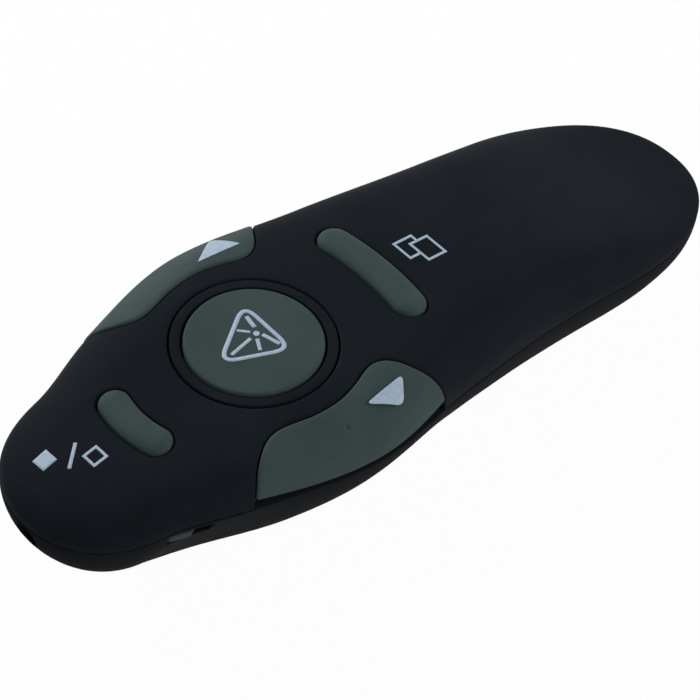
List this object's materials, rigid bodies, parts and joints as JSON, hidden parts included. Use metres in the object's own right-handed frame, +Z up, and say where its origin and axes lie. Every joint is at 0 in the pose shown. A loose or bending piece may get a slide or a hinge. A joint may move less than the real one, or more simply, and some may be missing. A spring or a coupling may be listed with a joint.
{
  "type": "wireless presentation clicker",
  "caption": "Hand-held wireless presentation clicker: black two-shell body, round laser key in a ring, two side page keys, two curved bar keys, side power slide, stowed USB receiver.",
  "frame": {"origin": "centre of the bounding box at the level the underside rests on", "axes": "+Y towards the tail where the receiver is stowed, -Y the nose with the laser port, +X the power switch's side, +Z up through the keys"},
  "size_m": [0.037, 0.104, 0.0269],
  "materials": {
    "shell": "satin soft-touch black, finely textured",
    "key": "soft-touch dark grey with a blue-green cast",
    "trim": "satin black",
    "plunger": "satin red",
    "switch_case": "matt black",
    "steel": "plated spring steel",
    "brass": "turned, satin",
    "lens": "clear polished",
    "board": "green solder mask",
    "chip": "moulded black",
    "ceramic": "tan ceramic",
    "copper": "bare copper",
    "lead": "insulated wire",
    "cell_wrap": "printed shrink sleeve, plain",
    "knob": "satin dark grey",
    "pale": "natural nylon"
  },
  "bodies": {
    "case": {"upper_shell": "shell", "lower_shell": "shell", "trim_ring": "trim", "power_switch": "steel", "laser_barrel": "brass", "laser_lens": "lens", "laser_board": "board", "laser_leads": "lead", "main_board": "board", "tact_switches": "switch_case", "radio_chip": "chip", "controller_chip": "chip", "crystal": "steel", "board_capacitors": "ceramic", "board_resistors": "chip", "antenna": "copper", "cell_left": "cell_wrap", "cell_right": "cell_wrap", "minus_spring": "steel", "bridge_spring": "steel", "minus_contact": "steel", "plus_contact": "steel", "bridge_contact": "steel", "case_screws": "steel"},
    "laser_key": {"laser_key": "key", "laser_plunger": "plunger"},
    "page_key_right": {"page_key_right": "key", "right_plunger": "plunger"},
    "page_key_left": {"page_key_left": "key", "left_plunger": "plunger"},
    "rear_bar_key": {"rear_bar_key": "key", "rear_plunger": "plunger"},
    "front_bar_key": {"front_bar_key": "key", "front_plunger": "plunger"},
    "power_slide": {"power_knob": "knob", "power_lever": "pale"},
    "battery_door": {"battery_door": "shell"},
    "receiver": {"receiver_housing": "shell", "receiver_plug": "steel", "receiver_tongue": "pale"}
  },
  "joints": [
    {"name": "laser_press", "type": "slide", "parent": "case", "child": "laser_key", "axis": [0, 0, -1], "range_m": [0, 0.0004], "stiffness_N_per_m": 400, "springref_m": -0.001},
    {"name": "page_right_press", "type": "slide", "parent": "case", "child": "page_key_right", "axis": [0, 0, -1], "range_m": [0, 0.0004], "stiffness_N_per_m": 400, "springref_m": -0.001},
    {"name": "page_left_press", "type": "slide", "parent": "case", "child": "page_key_left", "axis": [0, 0, -1], "range_m": [0, 0.0004], "stiffness_N_per_m": 400, "springref_m": -0.001},
    {"name": "rear_bar_press", "type": "slide", "parent": "case", "child": "rear_bar_key", "axis": [0, 0, -1], "range_m": [0, 0.0004], "stiffness_N_per_m": 400, "springref_m": -0.001},
    {"name": "front_bar_press", "type": "slide", "parent": "case", "child": "front_bar_key", "axis": [0, 0, -1], "range_m": [0, 0.0004], "stiffness_N_per_m": 400, "springref_m": -0.001},
    {"name": "power_slide", "type": "slide", "parent": "case", "child": "power_slide", "axis": [0.3124, 0.9499, 0], "range_m": [0, 0.0022]},
    {"name": "door_lift", "type": "slide", "parent": "case", "child": "battery_door", "axis": [0, 0, -1], "range_m": [0, 0.03]},
    {"name": "receiver_pull", "type": "slide", "parent": "case", "child": "receiver", "axis": [0, 1, 0], "range_m": [0, 0.035]}
  ]
}
